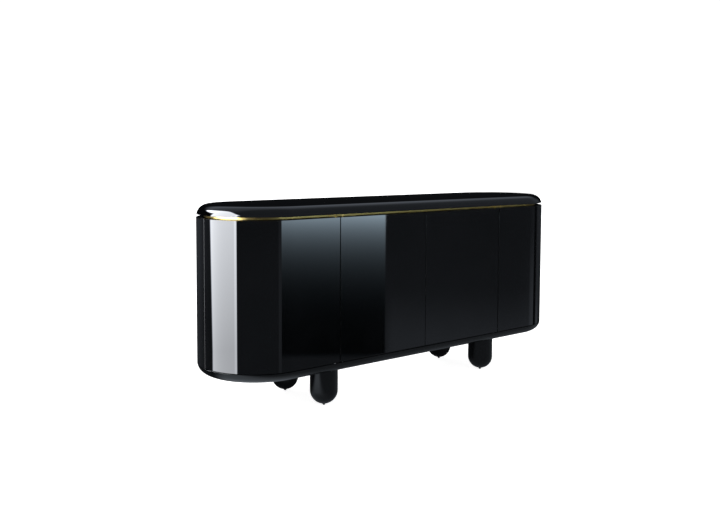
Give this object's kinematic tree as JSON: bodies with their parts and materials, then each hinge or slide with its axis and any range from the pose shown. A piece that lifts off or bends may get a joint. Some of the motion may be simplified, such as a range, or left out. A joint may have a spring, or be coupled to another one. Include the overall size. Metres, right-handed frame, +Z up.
{
  "type": "sideboard buffet",
  "caption": "Low sideboard with fully round ends, flush pivoting doors under a brass-lined grip groove, a rounded top edge and short round legs with ball feet.",
  "frame": {"origin": "on the floor, under the middle of the cabinet", "axes": "+X along the length to the viewer's right, -Y out of the doors, +Z up"},
  "size_m": [1.8, 0.472, 0.793],
  "materials": {
    "lacquer_black": "high-gloss black lacquer over shaped board, faint orange peel",
    "veneer_dark": "smoked dark oak veneer, satin",
    "brass_satin": "satin brass strip",
    "steel": "plain zinc-plated steel",
    "bronze": "sintered bronze",
    "plastic_black": "matt black plastic"
  },
  "bodies": {
    "cabinet": {"back_panel": "lacquer_black", "base_slab": "lacquer_black", "bush_foot_inner_left": "bronze", "bush_foot_inner_right": "bronze", "bush_foot_outer_left": "bronze", "bush_foot_outer_right": "bronze", "bush_top_inner_left": "bronze", "bush_top_inner_right": "bronze", "bush_top_outer_left": "bronze", "bush_top_outer_right": "bronze", "catch_inner_left": "plastic_black", "catch_inner_right": "plastic_black", "catch_outer_left": "plastic_black", "catch_outer_right": "plastic_black", "cleat_back_left": "veneer_dark", "cleat_back_right": "veneer_dark", "cleat_centre_left": "veneer_dark", "cleat_centre_right": "veneer_dark", "cleat_end_left": "veneer_dark", "cleat_end_right": "veneer_dark", "glide_back_left": "plastic_black", "glide_back_right": "plastic_black", "glide_front_left": "plastic_black", "glide_front_right": "plastic_black", "grip_trim": "brass_satin", "leg_back_left": "lacquer_black", "leg_back_right": "lacquer_black", "leg_front_left": "lacquer_black", "leg_front_right": "lacquer_black", "partition_left": "veneer_dark", "partition_right": "veneer_dark", "rear_shell_left": "lacquer_black", "rear_shell_right": "lacquer_black", "shelf_centre": "veneer_dark", "shelf_left": "veneer_dark", "shelf_right": "veneer_dark", "stud_back_left": "steel", "stud_back_right": "steel", "stud_front_left": "steel", "stud_front_right": "steel", "sub_top": "veneer_dark", "top_slab": "lacquer_black", "top_spacer": "lacquer_black"},
    "door_outer_left": {"door_outer_left": "lacquer_black", "pin_foot_outer_left": "steel", "pin_top_outer_left": "steel", "strike_outer_left": "steel"},
    "door_inner_left": {"door_inner_left": "lacquer_black", "pin_foot_inner_left": "steel", "pin_top_inner_left": "steel", "strike_inner_left": "steel"},
    "door_inner_right": {"door_inner_right": "lacquer_black", "pin_foot_inner_right": "steel", "pin_top_inner_right": "steel", "strike_inner_right": "steel"},
    "door_outer_right": {"door_outer_right": "lacquer_black", "pin_foot_outer_right": "steel", "pin_top_outer_right": "steel", "strike_outer_right": "steel"}
  },
  "joints": [
    {"name": "outer_left_door_hinge", "type": "hinge", "parent": "cabinet", "child": "door_outer_left", "pos_m": [-0.468, -0.228, 0.4665], "axis": [0, 0, 1], "range_deg": [0, 90]},
    {"name": "inner_left_door_hinge", "type": "hinge", "parent": "cabinet", "child": "door_inner_left", "pos_m": [-0.432, -0.228, 0.4665], "axis": [0, 0, -1], "range_deg": [0, 90]},
    {"name": "inner_right_door_hinge", "type": "hinge", "parent": "cabinet", "child": "door_inner_right", "pos_m": [0.432, -0.228, 0.4665], "axis": [0, 0, 1], "range_deg": [0, 90]},
    {"name": "outer_right_door_hinge", "type": "hinge", "parent": "cabinet", "child": "door_outer_right", "pos_m": [0.468, -0.228, 0.4665], "axis": [0, 0, -1], "range_deg": [0, 90]}
  ]
}
